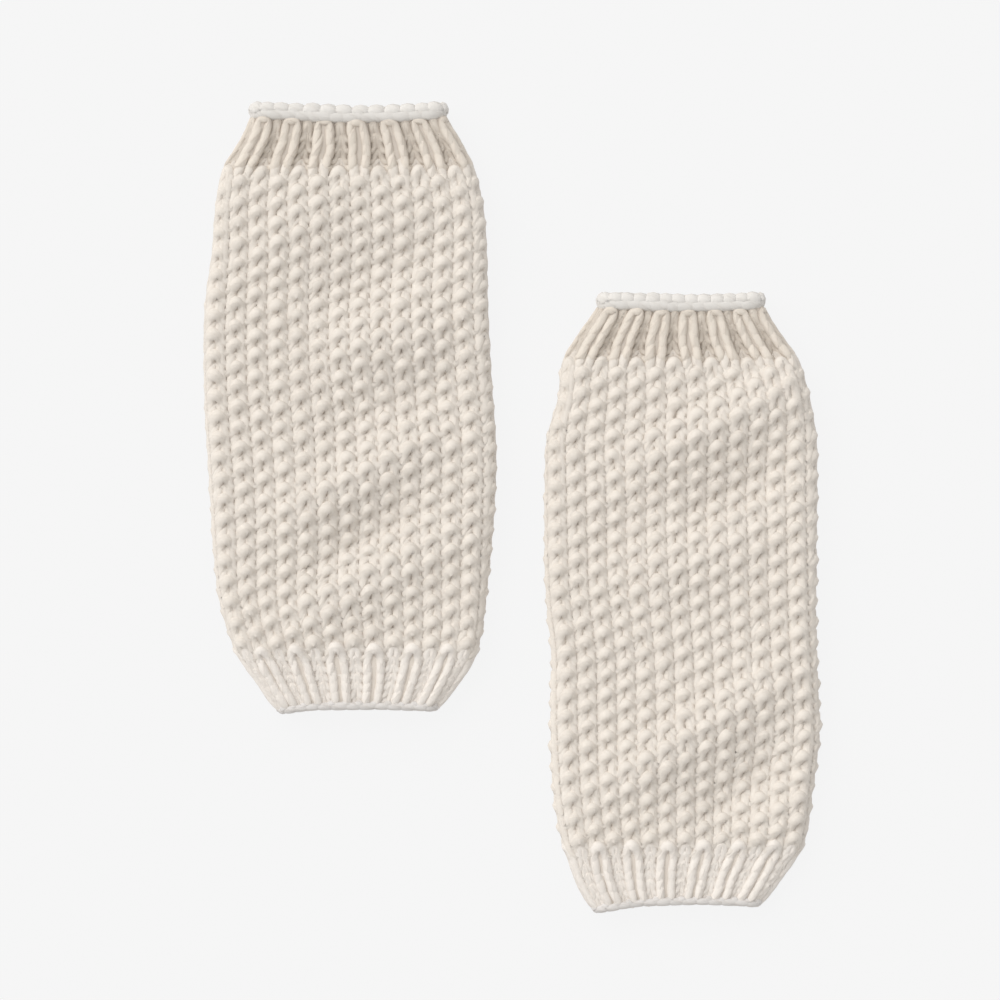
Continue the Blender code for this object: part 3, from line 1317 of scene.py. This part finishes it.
# Across, down, turn, length, breadth and height
RIGHT_FOLDS = [
    (13.0, 47.0, 25, 64, 8.5, 1.8),
    (17.0, 72.0, 28, 42, 8.0, -1.5),
    (5.0, 95.0, 20, 44, 9.5, 0.9),
    (-20.0, 84.0, 30, 30, 8.0, -0.6),
    (5.0, 156.0, 33, 76, 8.5, 1.7),
    (20.0, 175.0, 36, 34, 8.0, -1.9),
    (33.5, 186.0, 45, 26, 6.0, 0.7),
]
RIGHT = LegWarmer(
    name="right",
    seed=57,
    courses=Courses(top_edge_end=6.6, top_cuff_end=23.0, leg_end=198.0, bottom_cuff_end=215.2),
    form=TubeForm(
        x=59.72,
        y=76.05,
        twist=0.70,
        top=End(hollow=1.2, tilt=-0.4),
        bottom=End(hollow=2.6, tilt=2.1),
        sections=[Section(*row) for row in RIGHT_SECTIONS],
        folds=[Fold(*row) for row in RIGHT_FOLDS],
    ),
)


@dataclass(frozen=True)
class Studio:
    """The pale floor, the soft light and the camera straight above."""

    view_width: float = 0.355
    view_x: float = -0.00415
    view_y: float = 0.00225
    camera_height: float = 1.2
    sensor: float = 36.0
    floor_size: float = 6.0
    floor_tone: float = 0.04
    floor_glow: float = 0.875
    key_strength: float = 2.05
    key_spread: float = 60.0
    key_direction: tuple[float, float, float] = (0.68, -0.6, -0.78)
    room_glow: float = 0.71

    def lay_floor(self) -> None:
        """Lay the plain pale floor."""
        half = self.floor_size / 2
        mesh = bpy.data.meshes.new("floor")
        corners = [(-half, -half, 0), (half, -half, 0), (half, half, 0), (-half, half, 0)]
        mesh.from_pydata(corners, [], [(0, 1, 2, 3)])
        floor = link("floor", mesh)
        material = bpy.data.materials.new("floor_paper")
        material.use_nodes = True
        shader = material.node_tree.nodes["Principled BSDF"]
        looks = {
            "Base Color": (self.floor_tone, self.floor_tone, self.floor_tone, 1),
            "Roughness": 1.0,
            "Specular IOR Level": 0.0,
            "Emission Color": (1, 1, 1, 1),
            "Emission Strength": self.floor_glow,
        }
        set_inputs(shader, looks)
        mesh.materials.append(material)

    def light(self) -> None:
        """Hang the broad key light at the upper left, and fill the room with even light."""
        lamp = bpy.data.lights.new("key", "SUN")
        lamp.energy = self.key_strength
        lamp.angle = math.radians(self.key_spread)
        key = link("key", lamp)
        key.rotation_mode = "QUATERNION"
        key.rotation_quaternion = Vector(self.key_direction).to_track_quat("-Z", "Y")
        world = bpy.data.worlds.new("room")
        world.use_nodes = True
        glow = {"Color": (1, 1, 1, 1), "Strength": self.room_glow}
        set_inputs(world.node_tree.nodes["Background"], glow)
        bpy.context.scene.world = world
        bpy.context.scene.view_settings.view_transform = "Standard"

    def place_camera(self) -> None:
        """Place the camera over the middle of the picture, looking straight down."""
        lens = bpy.data.cameras.new("camera")
        lens.sensor_width = self.sensor
        lens.lens = self.sensor * self.camera_height / self.view_width
        camera = link("camera", lens)
        camera.location = (self.view_x, self.view_y, self.camera_height)
        bpy.context.scene.camera = camera

    def build(self) -> None:
        """Make the whole studio."""
        self.lay_floor()
        self.light()
        self.place_camera()


def main() -> None:
    """Build the pair round its frame, and the studio round the pair."""
    logging.basicConfig(level=logging.INFO, format="%(message)s")
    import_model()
    Studio().build()
    ply_twist_group()
    wool_shade_group()
    for leg_warmer in (LEFT, RIGHT):
        leg_warmer.build()
    bpy.context.view_layer.update()


if __name__ == "__main__":
    main()
